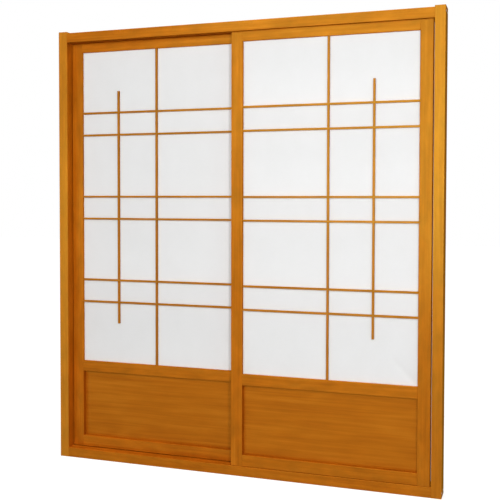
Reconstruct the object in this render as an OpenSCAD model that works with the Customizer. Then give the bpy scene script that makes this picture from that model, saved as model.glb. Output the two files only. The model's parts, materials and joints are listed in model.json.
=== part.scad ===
// Pair of shoji sliding panels in their frame.
// Two mirror-image panels carry paper on a half-lapped wooden lattice above a low wooden board.
// The left panel runs in the rear track and the right panel in the front track.
// Millimetres. X runs along the tracks, Y from front to back and Z upward.
// The origin is the middle of the frame's underside.

/* [Frame] */
// Overall width across both jambs
frame_w = 1803; // [1500:1:2400]
// Height of the jambs
frame_h = 2032; // [1800:1:2400]
// Face width of each jamb
jamb_w = 44; // [36:1:80]
// Height of the sill
sill_h = 44; // [36:1:70]
// Height of the head
head_h = 44; // [36:1:70]
// Length of each jamb that stands above the head
horn_h = 6; // [0:1:40]
// Set-back of each panel's outer face from the frame's face
face_set = 4; // [2:0.5:20]

/* [Tracks] */
// Clear gap between the two panels
panel_gap = 8; // [3:0.5:20]
// Depth of the two grooves in the head
groove_d = 15; // [13:0.5:20]
// Clearance on each side of a panel's tongue in its groove
groove_clear = 1; // [0.5:0.1:2]
// Width of the two tracks in the sill
track_w = 10; // [8:0.5:14]
// Depth of the two tracks in the sill
track_d = 5; // [3:0.5:6]

/* [Panels] */
// Thickness of each panel
panel_t = 35; // [32:0.5:45]
// Overlap of the meeting stiles when both panels are shut
overlap = 46; // [20:1:60]
// Face width of the stiles
stile_w = 53.5; // [45:0.5:80]
// Height of the stock of each rail
rail_h = 50; // [50:1:80]
// Visible height of the lower board
board_h = 314; // [200:1:500]
// Gap between the sill and the right panel
sill_gap = 1.5; // [1:0.5:5]
// Gap between the head and the right panel's shoulders
head_gap = 7.5; // [5:0.5:10]
// Extra height at which the left panel is set on its rollers
left_lift = 1.5; // [0:0.5:4]
// Height of the tongue along the top of each panel
tongue_h = 12; // [11:0.5:14]
// Thickness of that tongue
tongue_t = 16; // [14:0.5:20]
// Gap between the left panel and its jamb
left_stand = 2; // [0.5:0.5:20]
// Gap between the right panel and its jamb
right_stand = 4.5; // [0.5:0.5:20]
// Chamfer along the edges of the frame's and the panels' timbers
arris = 1; // [0.5:0.1:2]

/* [Lattice] */
// Face width of each lattice bar
bar_w = 9; // [6:0.5:14]
// Depth of each lattice bar from front to back
bar_t = 10; // [8:0.5:14]
// Set-back of the lattice from the panel's face
bar_set = 2.5; // [1:0.5:6]
// Number of pairs of cross bars
pair_count = 3; // [2:1:4]
// Distance between the two bars of a pair, from centre to centre
pair_gap = 105; // [60:1:140]
// Distance from the mid rail to the centre of the lowest cross bar
margin_low = 288; // [150:1:350]
// Distance from the top rail to the centre of the highest cross bar
margin_high = 289; // [150:1:350]
// Distance of the short bar from the middle of its panel
short_offset = 197; // [100:1:250]
// Length of the short bar beyond the outermost cross bars
short_run = 100; // [20:1:130]

/* [Paper and board] */
// Thickness of the paper
paper_t = 0.5; // [0.3:0.1:2]
// Width of the ledge that the paper is glued to
ledge_w = 8; // [7:0.5:9]
// Thickness of the lower board
board_t = 6; // [4:0.5:9]
// Set-back of the lower board from the panel's face
board_set = 22; // [8:0.5:24]
// Depth to which the board's edges run into their grooves
board_edge = 8; // [5:0.5:9]
// Room for the edges of the paper and the board to grow
edge_room = 1; // [0.5:0.1:2]

/* [Joints] */
// Length of the tenons on the rails
tenon_l = 35; // [20:1:40]
// Thickness of those tenons
tenon_t = 12; // [8:0.5:13]
// Height cut from each edge of a rail to leave its tenon
tenon_cut = 11; // [11:0.5:15]
// Length of the stub ends of the lattice bars
stub_l = 6; // [4:0.5:6.5]
// Play on each face of a fitted joint
joint_play = 0.1; // [0.05:0.05:0.2]
// Free depth at the end of a mortise
mortise_room = 1; // [0.5:0.5:3]

/* [Rollers] */
// Diameter of each wheel
wheel_d = 34; // [32:1:38]
// Clearance of a wheel from each side of its track
track_clear = 1; // [0.5:0.1:2]
// Clearance of a wheel above the bottom of its track
tread_clear = 0.3; // [0.2:0.1:0.5]
// Clearance of a wheel from each cheek of its housing
cheek_clear = 0.4; // [0.3:0.1:1]
// Room around the wheel's rim in its housing
rim_room = 2; // [1.5:0.5:4]
// Thickness of a wheel's rim
rim_t = 2.5; // [2:0.5:4]
// Thickness of a wheel's hub around its bore
hub_t = 3.5; // [2:0.5:5]
// Depth to which a wheel's faces are sunk between hub and rim
face_sink = 1.2; // [0.5:0.1:2]
// Chamfer on the edges of a wheel's tread
tread_edge = 0.8; // [0.3:0.1:1.5]
// Diameter of each axle
axle_d = 5; // [4:0.5:6]
// Radial clearance of a wheel on its axle
running_play = 0.05; // [0.02:0.01:0.1]
// Radial clearance of an axle in its housing
axle_play = 0.02; // [0.01:0.01:0.05]
// Thickness of the housing's sheet steel
sheet_t = 1.5; // [1:0.1:2]
// Length of each of the housing's flanges
flange_l = 15; // [12:1:20]
// Distance from a panel's edge to the centre of the wheel near it
roller_inset = 120; // [100:1:250]

/* [Screws] */
// Diameter of the screws at the frame's corners
corner_screw_d = 5; // [4:0.5:6]
// Depth to which those screws run into the head and the sill
corner_screw_bite = 28; // [20:1:50]
// Distance of each corner screw from the middle of the frame's depth
corner_screw_y = 24; // [15:1:28]
// Diameter of the screws in the roller housings
roller_screw_d = 3; // [2.5:0.5:3.5]
// Length of those screws
roller_screw_l = 16; // [12:1:20]
// Ratio of a screw's head diameter to its shank diameter
screw_head_ratio = 2; // [1.8:0.1:2.2]
// Diameter of the fixing holes in the bottoms of the head's grooves
fixing_d = 5; // [4:0.5:6]
// Distance of the inner fixing holes from the frame's middle
fixing_near = 250; // [150:1:350]
// Distance of the outer fixing holes from the frame's middle
fixing_far = 650; // [450:1:700]

/* [Hidden] */
$fn = 48;
cut_over = 1;

// Frame
frame_d = 2 * face_set + 2 * panel_t + panel_gap;
opening_w = frame_w - 2 * jamb_w;
head_z = frame_h - horn_h - head_h;
corner_screw_l = jamb_w + corner_screw_bite;

// Panels
panel_w = (opening_w + overlap) / 2;
panel_h = head_z - head_gap + tongue_h - sill_h - sill_gap;
shoulder_z = panel_h - tongue_h;
mid_z = rail_h + board_h;
light_z = mid_z + rail_h;
light_top = panel_h - rail_h;
light_w = panel_w - 2 * stile_w;
panel_mid_x = panel_w / 2;
panel_mid_y = panel_t / 2;
front_y = -frame_d / 2 + face_set;
rear_y = front_y + panel_t + panel_gap;
right_z = sill_h + sill_gap;
left_z = right_z + left_lift;

// Tracks, each centred on its panel
track_y = [front_y + panel_mid_y, rear_y + panel_mid_y];
groove_w = tongue_t + 2 * groove_clear;

// Lattice, in a panel's own frame
ledge_y = bar_set + bar_t;
lap_y = bar_set + bar_t / 2;
lowest_bar = light_z + margin_low;
highest_bar = light_top - margin_high;
pair_pitch = (highest_bar - lowest_bar - pair_gap) / (pair_count - 1);
bar_zs = [for (p = [0 : pair_count - 1], b = [0, 1]) lowest_bar + p * pair_pitch + b * pair_gap];
short_x = panel_mid_x - short_offset;
upright_xs = [panel_mid_x, short_x];

// Rollers
wheel_w = track_w - 2 * track_clear;
wheel_r = wheel_d / 2;
wheel_z = sill_h - track_d + tread_clear + wheel_r;
housing_in_w = wheel_w + 2 * cheek_clear;
housing_w = housing_in_w + 2 * sheet_t;
housing_in_l = wheel_d + 2 * rim_room;
housing_l = housing_in_l + 2 * sheet_t;
roller_xs = [roller_inset, panel_w - roller_inset];
flange_screw_x = (housing_l + flange_l) / 2;

// Colours
wood = [0.80, 0.52, 0.20];
paper_white = [0.95, 0.94, 0.91];
steel = [0.66, 0.67, 0.69];
nylon = [0.90, 0.89, 0.84];

SIDES = ["left", "right"];
LEAF_PIECES = ["outer_stile", "meeting_stile", "top_rail", "mid_rail", "bottom_rail",
               "lower_board", "paper", "centre_bar", "short_bar"];
CROSS_BARS = [for (b = [1 : len(bar_zs)]) str("cross_bar_", b)];
ROLLER_PIECES = [for (r = [1, 2], piece = ["housing", "wheel", "axle"]) str("roller_", piece, "_", r)];
PANEL_PIECES = concat(LEAF_PIECES, CROSS_BARS, ROLLER_PIECES, ["roller_screws"]);
FRAME_PIECES = ["left_jamb", "right_jamb", "head", "sill", "corner_screws"];

// Shared shapes

// Section of a timber with chamfered edges
function eased(w, t) =
    [[arris, 0], [w - arris, 0], [w, arris], [w, t - arris],
     [w - arris, t], [arris, t], [0, t - arris], [0, arris]];

// Timber that stands along Z: w along X and t along Y
module upright(w, t, length) {
    linear_extrude(length) polygon(eased(w, t));
}

// Timber that lies along X: t along Y and h along Z
module level(t, h, length) {
    rotate([90, 0, 90]) linear_extrude(length) polygon(eased(t, h));
}

// Block between two corners
module block(low, high) {
    translate(low) cube(high - low);
}

// Countersunk screw along +Z, its head's face at the origin
module screw(d, length) {
    head_r = d * screw_head_ratio / 2;
    shank_r = d / 2;
    rotate_extrude()
        polygon([[0, 0], [head_r, 0], [shank_r, head_r - shank_r], [shank_r, length - d], [0, length]]);
}

// Hole for that screw, open at its head
module screw_hole(d, length, play = joint_play) {
    head_r = d * screw_head_ratio / 2 + play;
    shank_r = d / 2 + play;
    rotate_extrude()
        polygon([[0, -cut_over], [head_r, -cut_over], [head_r, 0], [shank_r, head_r - shank_r],
                 [shank_r, length - d], [0, length + play]]);
}

// Frame

// Places children at the two screws of one end of a rail whose solid middle is at height z
module corner_pair(side, z) {
    for (y = [-corner_screw_y, corner_screw_y])
        translate([side * frame_w / 2, y, z]) rotate([0, -side * 90, 0]) children();
}

// Places children at every corner screw
module corners(sides = [-1, 1]) {
    for (side = sides) {
        corner_pair(side, (sill_h - track_d) / 2) children();
        corner_pair(side, head_z + (head_h + groove_d) / 2) children();
    }
}

module jamb(side) {
    color(wood) difference() {
        translate([side > 0 ? opening_w / 2 : -frame_w / 2, -frame_d / 2, 0])
            upright(jamb_w, frame_d, frame_h);
        corners([side]) screw_hole(corner_screw_d, corner_screw_l);
    }
}

module head() {
    color(wood) difference() {
        translate([-opening_w / 2, -frame_d / 2, head_z]) level(frame_d, head_h, opening_w);
        for (y = track_y)
            block([-opening_w, y - groove_w / 2, head_z - cut_over],
                  [opening_w, y + groove_w / 2, head_z + groove_d]);
        for (track = [0, 1], x = [fixing_near, fixing_far])
            translate([(2 * track - 1) * x, track_y[track], head_z + groove_d])
                screw_hole(fixing_d, head_h, 0);
        corners() screw_hole(corner_screw_d, corner_screw_l);
    }
}

module sill() {
    color(wood) difference() {
        translate([-opening_w / 2, -frame_d / 2, 0]) level(frame_d, sill_h, opening_w);
        for (y = track_y)
            block([-opening_w, y - track_w / 2, sill_h - track_d],
                  [opening_w, y + track_w / 2, sill_h + cut_over]);
        corners() screw_hole(corner_screw_d, corner_screw_l);
    }
}

module corner_screws() {
    color(steel) corners() screw(corner_screw_d, corner_screw_l);
}

// Panel pieces, in a panel's own frame: X from its outer edge, Y from its face and Z from its foot

// Cut that leaves the tongue along the top of a panel
module tongue_cut() {
    for (y = [[-cut_over, panel_mid_y - tongue_t / 2], [panel_mid_y + tongue_t / 2, panel_t + cut_over]])
        block([-cut_over, y[0], shoulder_z], [panel_w + cut_over, y[1], panel_h + cut_over]);
}

// The paper and the recess behind it, which leaves the ledge
module paper_space(inset, depth) {
    block([stile_w - ledge_w + inset, ledge_y, light_z - ledge_w + inset],
          [panel_w - stile_w + ledge_w - inset, ledge_y + depth, light_top + ledge_w - inset]);
}

// The lower board, grown by some room at its edges and some play on its faces
module board_space(room, play) {
    run = board_edge + room;
    block([stile_w - run, board_set - play, rail_h - run],
          [panel_w - stile_w + run, board_set + board_t + play, mid_z + run]);
}

// A rail's two tenons, grown by play on their faces and room at their ends
module tenons(z, play, room) {
    reach = tenon_l + room;
    block([stile_w - reach, panel_mid_y - tenon_t / 2 - play, z + tenon_cut - play],
          [panel_w - stile_w + reach, panel_mid_y + tenon_t / 2 + play, z + rail_h - tenon_cut + play]);
}

// A cross bar, with stub ends, grown by play where it is let in
module cross_bar_stock(z, play) {
    reach = stub_l + play;
    block([stile_w - reach, bar_set, z - bar_w / 2 - play],
          [panel_w - stile_w + reach, ledge_y, z + bar_w / 2 + play]);
}

// The centre bar, with stub ends, grown by play where it is let in
module centre_bar_stock(play) {
    reach = stub_l + play;
    block([panel_mid_x - bar_w / 2 - play, bar_set, light_z - reach],
          [panel_mid_x + bar_w / 2 + play, ledge_y, light_top + reach]);
}

// Front halves of an upright bar, cut away where the cross bars lie
module upright_laps() {
    half = bar_w / 2 + joint_play;
    for (z = bar_zs)
        block([0, 0, z - half], [panel_w, lap_y, z + half]);
}

// Roller housing's outside at one wheel, grown by play and run out below where it is let in
module housing_outside(x, axle_z, play, below) {
    top = axle_z + wheel_r + rim_room + sheet_t;
    half_w = housing_w / 2 + play;
    half_l = housing_l / 2 + play;
    flange_half = housing_l / 2 + flange_l + play;
    block([x - half_l, panel_mid_y - half_w, -below],
          [x + half_l, panel_mid_y + half_w, top + play]);
    block([x - flange_half, panel_mid_y - half_w, -below],
          [x + flange_half, panel_mid_y + half_w, sheet_t]);
}

// Places children at the two screws of the roller at x
module flange_screws(x) {
    for (side = [-1, 1])
        translate([x + side * flange_screw_x, panel_mid_y, 0]) children();
}

module stile(x) {
    color(wood) difference() {
        translate([x, 0, 0]) upright(stile_w, panel_t, panel_h);
        tongue_cut();
        paper_space(0, panel_t);
        board_space(edge_room, joint_play);
        for (z = [0, mid_z, light_top])
            tenons(z, joint_play, mortise_room);
        for (z = bar_zs)
            cross_bar_stock(z, joint_play);
    }
}

module rail_stock(z) {
    translate([stile_w, 0, z]) level(panel_t, rail_h, light_w);
    tenons(z, 0, 0);
}

module top_rail() {
    color(wood) difference() {
        rail_stock(light_top);
        tongue_cut();
        paper_space(0, panel_t);
        centre_bar_stock(joint_play);
    }
}

module mid_rail() {
    color(wood) difference() {
        rail_stock(mid_z);
        paper_space(0, panel_t);
        board_space(edge_room, joint_play);
        centre_bar_stock(joint_play);
    }
}

module bottom_rail(axle_z) {
    color(wood) difference() {
        rail_stock(0);
        board_space(edge_room, joint_play);
        for (x = roller_xs) {
            housing_outside(x, axle_z, joint_play, cut_over);
            flange_screws(x) screw_hole(roller_screw_d, roller_screw_l);
        }
    }
}

module lower_board() {
    color(wood) board_space(0, 0);
}

module paper() {
    color(paper_white) paper_space(edge_room, paper_t);
}

module centre_bar() {
    color(wood) difference() {
        centre_bar_stock(0);
        upright_laps();
    }
}

module short_bar() {
    color(wood) difference() {
        block([short_x - bar_w / 2, bar_set, lowest_bar - short_run],
              [short_x + bar_w / 2, ledge_y, highest_bar + short_run]);
        upright_laps();
    }
}

module cross_bar(z) {
    half = bar_w / 2 + joint_play;
    color(wood) difference() {
        cross_bar_stock(z, 0);
        for (x = upright_xs)
            block([x - half, lap_y, 0], [x + half, panel_t, panel_h]);
    }
}

// Places children at a wheel's centre, with their Z along the axle
module at_axle(x, axle_z) {
    translate([x, panel_mid_y, axle_z]) rotate([90, 0, 0]) children();
}

module roller_housing(x, axle_z) {
    color(steel) difference() {
        housing_outside(x, axle_z, 0, 0);
        block([x - housing_in_l / 2, panel_mid_y - housing_in_w / 2, -cut_over],
              [x + housing_in_l / 2, panel_mid_y + housing_in_w / 2, axle_z + wheel_r + rim_room]);
        at_axle(x, axle_z) cylinder(d = axle_d + 2 * axle_play, h = 2 * housing_w, center = true);
        flange_screws(x) screw_hole(roller_screw_d, roller_screw_l);
    }
}

// Nylon wheel with eased tread edges and a face sunk around its hub
module roller_wheel(x, axle_z) {
    bore_r = axle_d / 2 + running_play;
    hub_r = bore_r + hub_t;
    rim_r = wheel_r - rim_t;
    edge_r = wheel_r - tread_edge;
    face = wheel_w / 2;
    sunk = face - face_sink;
    near_side = [[bore_r, -face], [hub_r, -face], [hub_r + face_sink, -sunk],
                 [rim_r - face_sink, -sunk], [rim_r, -face], [edge_r, -face], [wheel_r, tread_edge - face]];
    far_side = [for (i = [len(near_side) - 1 : -1 : 0]) [near_side[i][0], -near_side[i][1]]];
    color(nylon) at_axle(x, axle_z) rotate_extrude() polygon(concat(near_side, far_side));
}

module roller_axle(x, axle_z) {
    color(steel) at_axle(x, axle_z) cylinder(d = axle_d, h = housing_w, center = true);
}

module roller_screws() {
    color(steel)
        for (x = roller_xs)
            flange_screws(x) screw(roller_screw_d, roller_screw_l);
}

// One piece of a panel, chosen by its name
module panel_piece(piece, axle_z) {
    if (piece == "outer_stile") stile(0);
    if (piece == "meeting_stile") stile(panel_w - stile_w);
    if (piece == "top_rail") top_rail();
    if (piece == "mid_rail") mid_rail();
    if (piece == "bottom_rail") bottom_rail(axle_z);
    if (piece == "lower_board") lower_board();
    if (piece == "paper") paper();
    if (piece == "centre_bar") centre_bar();
    if (piece == "short_bar") short_bar();
    for (b = [0 : len(bar_zs) - 1])
        if (piece == CROSS_BARS[b]) cross_bar(bar_zs[b]);
    for (r = [0, 1]) {
        if (piece == str("roller_housing_", r + 1)) roller_housing(roller_xs[r], axle_z);
        if (piece == str("roller_wheel_", r + 1)) roller_wheel(roller_xs[r], axle_z);
        if (piece == str("roller_axle_", r + 1)) roller_axle(roller_xs[r], axle_z);
    }
    if (piece == "roller_screws") roller_screws();
}

// The left panel stands in the rear track, its outer edge at the left jamb
module left_panel(piece) {
    translate([-opening_w / 2 + left_stand, rear_y, left_z])
        panel_piece(piece, wheel_z - left_z);
}

// The right panel is its mirror image in the front track
module right_panel(piece) {
    translate([opening_w / 2 - right_stand, front_y, right_z])
        mirror([1, 0, 0]) panel_piece(piece, wheel_z - right_z);
}

jamb(-1);  // left_jamb
jamb(1);  // right_jamb
head();
sill();
corner_screws();
for (piece = PANEL_PIECES) {
    left_panel(piece);
    right_panel(piece);
}
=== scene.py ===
"""Looks of a pair of shoji sliding panels: materials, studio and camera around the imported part.

Everything is in metres, in the part's own frame: X along the tracks, Y from front to back, Z upward.
"""

import json
import math

import bpy
from mathutils import Matrix, Vector

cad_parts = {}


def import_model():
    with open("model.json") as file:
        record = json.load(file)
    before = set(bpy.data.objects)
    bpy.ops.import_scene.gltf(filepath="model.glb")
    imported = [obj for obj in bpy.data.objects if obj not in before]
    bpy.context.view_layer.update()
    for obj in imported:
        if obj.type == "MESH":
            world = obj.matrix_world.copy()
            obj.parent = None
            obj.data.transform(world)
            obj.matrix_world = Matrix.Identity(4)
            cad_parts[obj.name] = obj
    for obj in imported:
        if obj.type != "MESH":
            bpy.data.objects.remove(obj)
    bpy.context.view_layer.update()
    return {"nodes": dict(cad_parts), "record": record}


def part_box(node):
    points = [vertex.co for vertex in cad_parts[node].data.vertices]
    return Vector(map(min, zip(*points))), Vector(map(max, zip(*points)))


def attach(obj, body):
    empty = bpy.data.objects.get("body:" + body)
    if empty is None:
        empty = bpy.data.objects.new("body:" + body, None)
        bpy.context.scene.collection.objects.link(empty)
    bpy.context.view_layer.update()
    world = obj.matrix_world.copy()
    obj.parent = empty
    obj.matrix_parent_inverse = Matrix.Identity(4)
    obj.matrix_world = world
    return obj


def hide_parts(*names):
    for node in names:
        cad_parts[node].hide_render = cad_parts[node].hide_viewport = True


# Camera, as fitted to the photograph's vanishing points and outlines
CAMERA_PLACE = (1.2481, -3.5152, 1.2298)
CAMERA_YAW = math.radians(18.846)
CAMERA_PITCH = math.radians(1.781)
CAMERA_ROLL = math.radians(0.118)
SENSOR_WIDTH = 36.0
FOCAL_LENGTH = 59.810
SHIFT_DOWN = 0.0453

# Wood colours, from the pale early wood to the dark late wood, and on worn edges
WOOD_PALE = (0.440, 0.118, 0.006)
WOOD_MIDDLE = (0.382, 0.092, 0.003)
WOOD_DARK = (0.318, 0.067, 0.002)
WOOD_WORN = (0.460, 0.130, 0.010)

# Values of the grain pattern at which the wood is dark, middle and pale
DARK_AT = 0.27
MIDDLE_AT = 0.50
PALE_AT = 0.73

# Oil on the wood: its colour, and its share of what is seen on most timbers and on the jambs
OIL_COLOUR = (1.0, 0.70, 0.08)
OIL_SHARE = 0.065
JAMB_OIL_SHARE = {"left_jamb": 0.14, "right_jamb": 0.095}

# Timbers with a tone of their own, partly the wood's own tone and partly painted light: whole timbers
# made lighter or darker to stand in for highlights and shade the lamps don't give; the others take a
# few close tones in turn
TONES_WITH_PAINTED_LIGHT = {
    "head": 1.06,
    "sill": 1.03,
    "left_jamb": 1.01,
    "right_jamb": 0.94,
    "left_outer_stile": 1.04,
    "right_outer_stile": 0.95,
    "left_top_rail": 1.13,
    "right_top_rail": 1.06,
    "right_meeting_stile": 1.03,
}
TONE_SPREAD = 0.04
TONE_COUNT = 5
TONE_STRIDE = 7

# Tints that multiply the wood colours; the lattice bars are less orange than the rest
PLAIN_TINT = (1.0, 1.0, 1.0)
BAR_TINT = (0.90, 1.14, 2.6)

# How far the pattern moves from one timber to the next
PATTERN_STEP = (0.37, 0.53, 0.71)

# Grain, as waves per metre along and across the timber
STREAKS_ALONG = 2.6
STREAKS_ACROSS = 95.0
FIGURE_ALONG = 1.6
FIGURE_ACROSS = 7.0
PATCHES_ALONG = 11.0
PATCHES_ACROSS = 28.0
PORES_ALONG = 60.0
PORES_ACROSS = 1500.0

# How far streaks wander, how many rings the figure holds, and what rings and pores add to the grain
STREAKS_WANDER = 0.5
RINGS_IN_FIGURE = 5.0
RINGS_SHARE = 0.07
PORES_SHARE = 0.16

# How far patches lighten or darken a timber, and a board
TIMBER_PATCHES = 0.38
BOARD_PATCHES = 0.12

# Wood's roughness at the dark and the pale end of the grain, its relief, and the wear on its edges
WOOD_ROUGHNESS = (0.44, 0.26)
GRAIN_RELIEF = 0.35
GRAIN_DEPTH = 0.0006
WEAR_RADIUS = 0.0012
WEAR_GAIN = 1.6
WEAR_LIMIT = 0.5

# Pieces whose grain runs along the tracks; the other wooden ones stand upright
LEVEL_ENDINGS = ("head", "sill", "_rail", "_board")
LEVEL_PARTS = ("_cross_bar_",)

# Paper: colours, light let through, and its fibres and clouds as waves per metre and shares
PAPER_WHITE = (0.888, 0.891, 0.890)
PAPER_FIBRE = (0.864, 0.867, 0.863)
FIBRE_AT = 0.32
WHITE_AT = 0.62
PAPER_THROUGH = 0.15
FIBRE_WAVES = (90.0, 90.0, 260.0)
FIBRE_SHARE = 0.55
CLOUD_WAVES = (14.0, 14.0, 9.0)
CLOUD_SHARE = 0.45
PAPER_ROUGHNESS = (0.80, 0.95)
PAPER_SPECULAR = 0.12
PAPER_RELIEF = 0.2
PAPER_DEPTH = 0.0004

# Sheet steel, brushed along the tracks
STEEL_PALE = (0.64, 0.65, 0.67)
STEEL_DARK = (0.46, 0.47, 0.49)
STEEL_DARK_AT = 0.3
STEEL_PALE_AT = 0.7
BRUSHING_WAVES = (30.0, 900.0, 900.0)
STEEL_ROUGHNESS = (0.26, 0.46)
STEEL_RELIEF = 0.15
STEEL_DEPTH = 0.0001

# Nylon, mottled and scuffed
NYLON_PALE = (0.84, 0.83, 0.78)
NYLON_DARK = (0.74, 0.72, 0.66)
NYLON_DARK_AT = 0.35
NYLON_PALE_AT = 0.65
MOTTLE_WAVES = (400.0, 400.0, 400.0)
NYLON_ROUGHNESS = (0.38, 0.56)
NYLON_RELIEF = 0.1
NYLON_DEPTH = 0.0001
SCUFF_RADIUS = 0.0008
SCUFF_LIMIT = 0.4

# Cross bars in each panel's lattice
CROSS_BARS = 6

# Paper sheets: mesh spacing, width of the glued rim, and slack between the bars, varied in waves
SHEET_STEP = 0.010
LEDGE_HOLD = 0.007
SLACK_DEPTH = 0.0006
SLACK_REACH = 0.050
SLACK_WAVE_SHARE = 0.25
SLACK_WAVE_X = 17.0
SLACK_WAVE_Z = 9.0

# The crease at the lower outer corner of the right paper
CREASE_DEPTH = 0.003
CREASE_WIDTH = 0.012
CREASE_RUN = 0.190

# Floor; between two distances from the middle it turns from its near white into full white
FLOOR_SIZE = 40.0
FLOOR_COLOUR = (0.25, 0.25, 0.25)
FLOOR_ROUGHNESS = 0.9
FLOOR_WHITE_NEAR = 0.86
FLOOR_WHITE_SPAN = (1.2, 3.5)

# Light; each lamp has a place, a target, a width and height, and a power in watts
WHITE = (1.0, 1.0, 1.0)
AMBIENT = 0.15
LAMPS = {
    "key_lamp": ((2.0, -3.55, 1.90), (0.0, 0.0, 1.2), (0.4, 0.4), 60.0),
    "wide_lamp": ((-0.2, -3.4, 2.25), (-0.1, 0.0, 1.6), (2.6, 2.2), 55.0),
    "over_lamp": ((0.0, -0.30, 6.0), (0.0, -0.28, 0.0), (2.4, 0.3), 180.0),
    "side_lamp": ((3.2, -1.8, 1.3), (-0.2, 0.0, 1.0), (1.6, 1.6), 8.0),
    "middle_lamp": ((0.3, -3.4, 1.0), (0.3, 0.0, 1.1), (1.2, 0.8), 14.0),
    "left_lamp": ((-2.8, -3.2, 1.2), (-0.7, 0.0, 1.2), (1.2, 1.4), 6.0),
    "back_lamp": ((-0.4, 3.4, 2.3), (-0.1, 0.0, 1.5), (2.4, 2.0), 60.0),
}


def colour(rgb):
    """An RGB colour with full alpha."""
    return (*rgb, 1.0)


class Shading:
    """A material and the few calls that build its node tree."""

    def __init__(self, name):
        self.material = bpy.data.materials.new(name)
        self.material.use_nodes = True
        self.nodes = self.material.node_tree.nodes
        self.links = self.material.node_tree.links
        self.shader = self.nodes["Principled BSDF"]
        self.output = self.nodes["Material Output"]

    def add(self, kind, **settings):
        """A new node with these properties set."""
        made = self.nodes.new(kind)
        for key, value in settings.items():
            setattr(made, key, value)
        return made

    def feed(self, socket, value):
        """Links an output to an input, or sets the input to a constant."""
        if isinstance(value, bpy.types.NodeSocket):
            self.links.new(value, socket)
        else:
            socket.default_value = value

    def set_main(self, name, value):
        """Sets or links an input of the main shader."""
        self.feed(self.shader.inputs[name], value)

    def calculate(self, operation, first, second=0.0, third=0.0):
        """The result of one calculation on values or outputs."""
        made = self.add("ShaderNodeMath", operation=operation)
        for socket, value in zip(made.inputs, (first, second, third)):
            self.feed(socket, value)
        return made.outputs[0]

    def place(self, scale, offset=(0.0, 0.0, 0.0)):
        """The piece's own coordinates, moved by offset and then scaled."""
        coordinates = self.add("ShaderNodeTexCoord")
        mapping = self.add("ShaderNodeMapping")
        self.links.new(coordinates.outputs["Object"], mapping.inputs["Vector"])
        mapping.inputs["Location"].default_value = [o * s for o, s in zip(offset, scale)]
        mapping.inputs["Scale"].default_value = scale
        return mapping.outputs["Vector"]

    def noise(self, vector, detail=3.0, roughness=0.55, distortion=0.0):
        """A noise pattern from 0 to 1 at these coordinates."""
        made = self.add("ShaderNodeTexNoise")
        self.links.new(vector, made.inputs["Vector"])
        made.inputs["Scale"].default_value = 1.0
        made.inputs["Detail"].default_value = detail
        made.inputs["Roughness"].default_value = roughness
        made.inputs["Distortion"].default_value = distortion
        return made.outputs["Fac"]

    def ramp(self, value, stops):
        """Colours blended along value; stops are (position, rgb) pairs."""
        made = self.add("ShaderNodeValToRGB")
        elements = made.color_ramp.elements
        while len(elements) < len(stops):
            elements.new(0.5)
        for element, (position, rgb) in zip(elements, stops):
            element.position = position
            element.color = colour(rgb)
        self.links.new(value, made.inputs["Fac"])
        return made.outputs["Color"]

    def spread(self, value, low, high, span=(0.0, 1.0)):
        """A value within span mapped to the range from low to high."""
        made = self.add("ShaderNodeMapRange")
        self.links.new(value, made.inputs["Value"])
        made.inputs["From Min"].default_value = span[0]
        made.inputs["From Max"].default_value = span[1]
        made.inputs["To Min"].default_value = low
        made.inputs["To Max"].default_value = high
        return made.outputs["Result"]

    def blend(self, share, first, second, blend_type="MIX"):
        """The first colour with this share of the second blended in."""
        made = self.add("ShaderNodeMix", data_type="RGBA", blend_type=blend_type)
        self.feed(made.inputs["Factor"], share)
        self.feed(made.inputs["A"], first)
        self.feed(made.inputs["B"], second)
        return made.outputs["Result"]

    def bump(self, height, strength, distance):
        """Gives the main shader a relief, and returns its normal for other shaders."""
        made = self.add("ShaderNodeBump")
        made.inputs["Strength"].default_value = strength
        made.inputs["Distance"].default_value = distance
        self.links.new(height, made.inputs["Height"])
        self.set_main("Normal", made.outputs["Normal"])
        return made.outputs["Normal"]

    def mix_in(self, other, share):
        """Shows another shader in this share, and the main shader in the rest."""
        made = self.add("ShaderNodeMixShader")
        made.inputs["Fac"].default_value = share
        self.links.new(self.shader.outputs["BSDF"], made.inputs[1])
        self.links.new(other.outputs["BSDF"], made.inputs[2])
        self.links.new(made.outputs["Shader"], self.output.inputs["Surface"])

    def edges(self, radius):
        """Above 0 on sharp edges and 0 away from them, from a rounded normal."""
        rounded = self.add("ShaderNodeBevel", samples=4)
        rounded.inputs["Radius"].default_value = radius
        flat = self.add("ShaderNodeNewGeometry")
        turned = self.add("ShaderNodeVectorMath", operation="DOT_PRODUCT")
        self.links.new(rounded.outputs["Normal"], turned.inputs[0])
        self.links.new(flat.outputs["Normal"], turned.inputs[1])
        return self.calculate("SUBTRACT", 1.0, turned.outputs["Value"])


def along_grain(level, along, across):
    """Scale of a pattern that runs along a level or an upright timber."""
    return (along, across, across) if level else (across, across, along)


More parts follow.
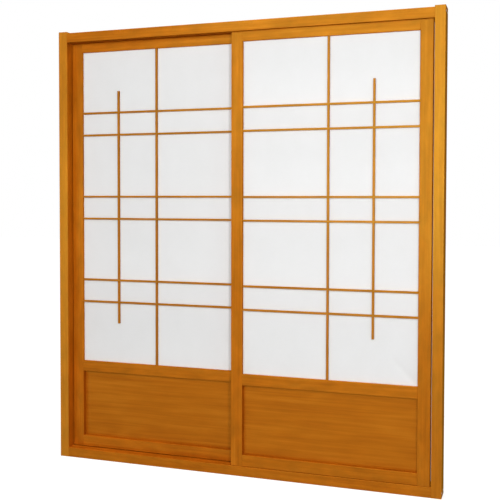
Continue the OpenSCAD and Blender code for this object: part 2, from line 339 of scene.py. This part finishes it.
def wood(name, level, offset, tint, patchy, oil_share):
    """Oiled softwood. Each timber has its own place in the pattern, tint (for some timbers partly
    painted highlight and painted shade), patches and share of oil.
    """
    made = Shading(name)
    streaks_place = made.place(along_grain(level, STREAKS_ALONG, STREAKS_ACROSS), offset)
    figure_place = made.place(along_grain(level, FIGURE_ALONG, FIGURE_ACROSS), offset)
    patches_place = made.place(along_grain(level, PATCHES_ALONG, PATCHES_ACROSS), offset)
    pores_place = made.place(along_grain(level, PORES_ALONG, PORES_ACROSS), offset)

    streaks = made.noise(streaks_place, detail=4.0, distortion=STREAKS_WANDER)
    figure = made.noise(figure_place, detail=2.0, roughness=0.4)
    patches = made.noise(patches_place)
    pores = made.noise(pores_place, detail=1.0)
    turns = made.calculate("MULTIPLY", figure, RINGS_IN_FIGURE * math.tau)
    rings = made.calculate("SINE", turns)
    ringed = made.calculate("MULTIPLY_ADD", rings, RINGS_SHARE, streaks)
    centred = made.calculate("SUBTRACT", ringed, PORES_SHARE / 2)
    grain = made.calculate("MULTIPLY_ADD", pores, PORES_SHARE, centred)

    body = made.ramp(grain, [(DARK_AT, WOOD_DARK), (MIDDLE_AT, WOOD_MIDDLE), (PALE_AT, WOOD_PALE)])
    patch_level = made.spread(patches, 1.0 - patchy, 1.0 + patchy)
    patched = made.blend(1.0, body, patch_level, "MULTIPLY")
    toned = made.blend(1.0, patched, colour(tint), "MULTIPLY")
    rubbed = made.calculate("MULTIPLY", made.edges(WEAR_RADIUS), WEAR_GAIN)
    wear = made.calculate("MINIMUM", rubbed, WEAR_LIMIT)
    roughness = made.spread(grain, *WOOD_ROUGHNESS)
    made.set_main("Base Color", made.blend(wear, toned, colour(WOOD_WORN)))
    made.set_main("Roughness", roughness)
    made.set_main("Specular IOR Level", 0.0)
    normal = made.bump(grain, GRAIN_RELIEF, GRAIN_DEPTH)

    oil = made.add("ShaderNodeBsdfGlossy")
    made.feed(oil.inputs["Color"], colour(OIL_COLOUR))
    made.feed(oil.inputs["Roughness"], roughness)
    made.feed(oil.inputs["Normal"], normal)
    made.mix_in(oil, oil_share)
    return made.material


def paper():
    """White paper with pale fibres, which lets some light through."""
    made = Shading("shoji_paper")
    fibres = made.noise(made.place(FIBRE_WAVES), detail=5.0, roughness=0.62, distortion=1.2)
    clouds = made.noise(made.place(CLOUD_WAVES))
    fibre_part = made.calculate("MULTIPLY", fibres, FIBRE_SHARE)
    mixed = made.calculate("MULTIPLY_ADD", clouds, CLOUD_SHARE, fibre_part)
    surface = made.ramp(mixed, [(FIBRE_AT, PAPER_FIBRE), (WHITE_AT, PAPER_WHITE)])
    made.set_main("Base Color", surface)
    made.set_main("Roughness", made.spread(fibres, *PAPER_ROUGHNESS))
    made.set_main("Specular IOR Level", PAPER_SPECULAR)
    made.bump(mixed, PAPER_RELIEF, PAPER_DEPTH)
    through = made.add("ShaderNodeBsdfTranslucent")
    made.feed(through.inputs["Color"], surface)
    made.mix_in(through, PAPER_THROUGH)
    return made.material


def steel():
    """Brushed sheet steel."""
    made = Shading("brushed_steel")
    brushed = made.noise(made.place(BRUSHING_WAVES))
    body = made.ramp(brushed, [(STEEL_DARK_AT, STEEL_DARK), (STEEL_PALE_AT, STEEL_PALE)])
    made.set_main("Base Color", body)
    made.set_main("Roughness", made.spread(brushed, *STEEL_ROUGHNESS))
    made.set_main("Metallic", 1.0)
    made.bump(brushed, STEEL_RELIEF, STEEL_DEPTH)
    return made.material


def nylon():
    """Moulded nylon, slightly mottled and scuffed on its edges."""
    made = Shading("moulded_nylon")
    mottle = made.noise(made.place(MOTTLE_WAVES), detail=4.0)
    body = made.ramp(mottle, [(NYLON_DARK_AT, NYLON_DARK), (NYLON_PALE_AT, NYLON_PALE)])
    scuffed = made.calculate("MINIMUM", made.edges(SCUFF_RADIUS), SCUFF_LIMIT)
    made.set_main("Base Color", made.blend(scuffed, body, colour(NYLON_DARK)))
    made.set_main("Roughness", made.spread(mottle, *NYLON_ROUGHNESS))
    made.bump(mottle, NYLON_RELIEF, NYLON_DEPTH)
    return made.material


def tone_with_painted_light(name, index):
    """How light a timber is: its own tone, partly painted highlight and painted shade, or one of a few
    close ones in turn.
    """
    share = (index * TONE_STRIDE) % TONE_COUNT / (TONE_COUNT - 1)
    return TONES_WITH_PAINTED_LIGHT.get(name, 1.0 + TONE_SPREAD * (share - 0.5))


def timber(name, index):
    """The wood of one piece."""
    level = name.endswith(LEVEL_ENDINGS) or any(part in name for part in LEVEL_PARTS)
    offset = [step * index for step in PATTERN_STEP]
    # This tone lightens or darkens the whole timber; for the timbers with a tone of their own it is
    # partly painted highlight and painted shade
    tone_and_painted_light = tone_with_painted_light(name, index)
    tint = [tone_and_painted_light * share for share in (BAR_TINT if "_bar" in name else PLAIN_TINT)]
    patchy = BOARD_PATCHES if name.endswith("_board") else TIMBER_PATCHES
    oil_share = JAMB_OIL_SHARE.get(name, OIL_SHARE)
    return wood(f"wood_{name}", level, offset, tint, patchy, oil_share)


def dress(frame):
    """Gives every CAD node its procedural material, and makes the paper that is seen."""
    plain = {"paper": paper(), "steel": steel(), "nylon": nylon()}
    paper_sheet("left", plain["paper"], creased=False)
    paper_sheet("right", plain["paper"], creased=True)
    slots = {part["node"]: part["material_slot"] for part in frame["record"]["subparts"]}
    for index, (name, piece) in enumerate(sorted(frame["nodes"].items())):
        slot = slots[name]
        chosen = plain[slot] if slot in plain else timber(name, index)
        piece.data.materials.clear()
        piece.data.materials.append(chosen)


def smooth_step(value):
    """0 below 0, 1 above 1 and a smooth rise between."""
    held = min(max(value, 0.0), 1.0)
    return held * held * (3.0 - 2.0 * held)


def steps(low, high):
    """Evenly spaced places from low to high, about SHEET_STEP apart."""
    count = math.ceil((high - low) / SHEET_STEP)
    return [low + (high - low) * i / count for i in range(count + 1)]


def distance_to(box, x, z):
    """How far a point of the sheet lies outside a bar's box, seen from the front."""
    low, high = box
    return math.hypot(max(low[0] - x, x - high[0], 0.0), max(low[2] - z, z - high[2], 0.0))


def inside_ledge(low, high, x, z):
    """How far a point of the sheet lies inside its glued rim."""
    return min(x - low[0], high[0] - x, z - low[2], high[2] - z) - LEDGE_HOLD


def slack(low, high, bars, x, z):
    """How far the paper hangs back: none on its ledge and on the bars, a little between them."""
    gaps = [distance_to(bar, x, z) for bar in bars]
    free = smooth_step(min([inside_ledge(low, high, x, z)] + gaps) / SLACK_REACH)
    wave = math.sin(SLACK_WAVE_X * x + SLACK_WAVE_Z * z)
    return SLACK_DEPTH * free * (1.0 - SLACK_WAVE_SHARE + SLACK_WAVE_SHARE * wave)


def crease(low, high, x, z):
    """How far the paper hangs back in a crease that rises from its lower right corner."""
    out = high[0] - LEDGE_HOLD - x
    up = z - low[2] - LEDGE_HOLD
    along = (out + up) / math.sqrt(2.0)
    across = (out - up) / math.sqrt(2.0)
    begin = smooth_step(inside_ledge(low, high, x, z) / CREASE_WIDTH)
    end = smooth_step((CREASE_RUN - along) / (CREASE_RUN / 2))
    return CREASE_DEPTH * begin * end * math.exp(-(across / CREASE_WIDTH) ** 2)


def sheet_faces(columns, rows):
    """Faces of a closed sheet: front and back, shaded smooth, and then its flat rim."""
    total = columns * rows
    faces = []
    for i in range(columns - 1):
        for j in range(rows - 1):
            corner = i * rows + j
            quad = (corner, corner + rows, corner + rows + 1, corner + 1)
            faces.append(quad)
            faces.append(tuple(total + v for v in reversed(quad)))
    rim = [i * rows for i in range(columns)]
    rim += [(columns - 1) * rows + j for j in range(1, rows)]
    rim += [i * rows + rows - 1 for i in range(columns - 2, -1, -1)]
    rim += list(range(rows - 2, 0, -1))
    smooth = [True] * len(faces) + [False] * len(rim)
    for first, second in zip(rim, rim[1:] + rim[:1]):
        faces.append((second, first, total + first, total + second))
    return faces, smooth


def paper_sheet(side, material, creased):
    """One panel's paper, a thin closed sheet glued to its ledge and to the back of the lattice."""
    low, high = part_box(f"{side}_paper")
    bar_names = [f"{side}_centre_bar", f"{side}_short_bar"]
    bar_names += [f"{side}_cross_bar_{number}" for number in range(1, CROSS_BARS + 1)]
    bars = [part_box(name) for name in bar_names]
    xs = steps(low[0], high[0])
    zs = steps(low[2], high[2])
    front = []
    for x in xs:
        for z in zs:
            depth = slack(low, high, bars, x, z)
            if creased:
                depth += crease(low, high, x, z)
            front.append((x, low[1] + depth, z))
    thickness = high[1] - low[1]
    back = [(x, y + thickness, z) for x, y, z in front]
    faces, smooth = sheet_faces(len(xs), len(zs))
    mesh = bpy.data.meshes.new(f"{side}_paper_sheet")
    mesh.from_pydata(front + back, [], faces)
    mesh.polygons.foreach_set("use_smooth", smooth)
    mesh.materials.append(material)
    piece = bpy.data.objects.new(f"{side}_paper_sheet", mesh)
    bpy.context.scene.collection.objects.link(piece)
    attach(piece, f"{side}_panel")
    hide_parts(f"{side}_paper")


def seen_directly(tree):
    """1 for rays from the camera and for mirrored or refracted views, 0 for light on the object."""
    path = tree.nodes.new("ShaderNodeLightPath")
    share = path.outputs["Is Camera Ray"]
    for kind in ("Is Glossy Ray", "Is Transmission Ray"):
        either = tree.nodes.new("ShaderNodeMath")
        either.operation = "MAXIMUM"
        tree.links.new(share, either.inputs[0])
        tree.links.new(path.outputs[kind], either.inputs[1])
        share = either.outputs[0]
    return share


def floor():
    """A white floor that keeps a faint shadow near the object and runs into the white backdrop."""
    half = FLOOR_SIZE / 2
    corners = [(-half, -half, 0), (half, -half, 0), (half, half, 0), (-half, half, 0)]
    mesh = bpy.data.meshes.new("floor")
    mesh.from_pydata(corners, [], [(0, 1, 2, 3)])
    plane = bpy.data.objects.new("floor", mesh)
    bpy.context.scene.collection.objects.link(plane)
    made = Shading("floor")
    made.set_main("Base Color", colour(FLOOR_COLOUR))
    made.set_main("Roughness", FLOOR_ROUGHNESS)
    made.set_main("Specular IOR Level", 0.0)
    distance = made.add("ShaderNodeVectorMath", operation="LENGTH")
    made.feed(distance.inputs[0], made.place((1.0, 1.0, 1.0)))
    white = made.spread(distance.outputs["Value"], FLOOR_WHITE_NEAR, 1.0, FLOOR_WHITE_SPAN)
    glow = made.add("ShaderNodeEmission")
    made.feed(glow.inputs["Color"], colour(WHITE))
    seen = seen_directly(made.material.node_tree)
    made.feed(glow.inputs["Strength"], made.calculate("MULTIPLY", seen, white))
    both = made.add("ShaderNodeAddShader")
    made.feed(both.inputs[0], made.shader.outputs["BSDF"])
    made.feed(both.inputs[1], glow.outputs["Emission"])
    made.feed(made.output.inputs["Surface"], both.outputs["Shader"])
    mesh.materials.append(made.material)


def world():
    """Even ambient light, seen as plain white by the camera."""
    made = bpy.data.worlds.new("studio")
    made.use_nodes = True
    bpy.context.scene.world = made
    tree = made.node_tree
    background = tree.nodes["Background"]
    background.inputs["Color"].default_value = colour(WHITE)
    strength = tree.nodes.new("ShaderNodeMapRange")
    tree.links.new(seen_directly(tree), strength.inputs["Value"])
    strength.inputs["To Min"].default_value = AMBIENT
    strength.inputs["To Max"].default_value = 1.0
    tree.links.new(strength.outputs["Result"], background.inputs["Strength"])


def softbox(name, place, target, size, power):
    """A rectangular area lamp that faces its target."""
    lamp = bpy.data.lights.new(name, "AREA")
    lamp.shape = "RECTANGLE"
    lamp.size, lamp.size_y = size
    lamp.energy = power
    holder = bpy.data.objects.new(name, lamp)
    bpy.context.scene.collection.objects.link(holder)
    holder.location = place
    holder.rotation_mode = "QUATERNION"
    holder.rotation_quaternion = (Vector(target) - Vector(place)).to_track_quat("-Z", "Y")


def camera():
    """The photograph's camera."""
    data = bpy.data.cameras.new("camera")
    data.sensor_fit = "HORIZONTAL"
    data.sensor_width = SENSOR_WIDTH
    data.lens = FOCAL_LENGTH
    data.shift_y = -SHIFT_DOWN
    right = Vector((math.cos(CAMERA_YAW), math.sin(CAMERA_YAW), 0.0))
    ahead = Vector((-math.sin(CAMERA_YAW) * math.cos(CAMERA_PITCH),
                    math.cos(CAMERA_YAW) * math.cos(CAMERA_PITCH),
                    -math.sin(CAMERA_PITCH)))
    level = Matrix((right, right.cross(ahead), -ahead)).transposed().to_4x4()
    holder = bpy.data.objects.new("camera", data)
    bpy.context.scene.collection.objects.link(holder)
    rolled = level @ Matrix.Rotation(CAMERA_ROLL, 4, "Z")
    holder.matrix_world = Matrix.Translation(CAMERA_PLACE) @ rolled
    bpy.context.scene.camera = holder


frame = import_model()
dress(frame)
floor()
world()
for lamp_name, settings in LAMPS.items():
    softbox(lamp_name, *settings)
camera()
bpy.context.scene.view_settings.view_transform = "Standard"
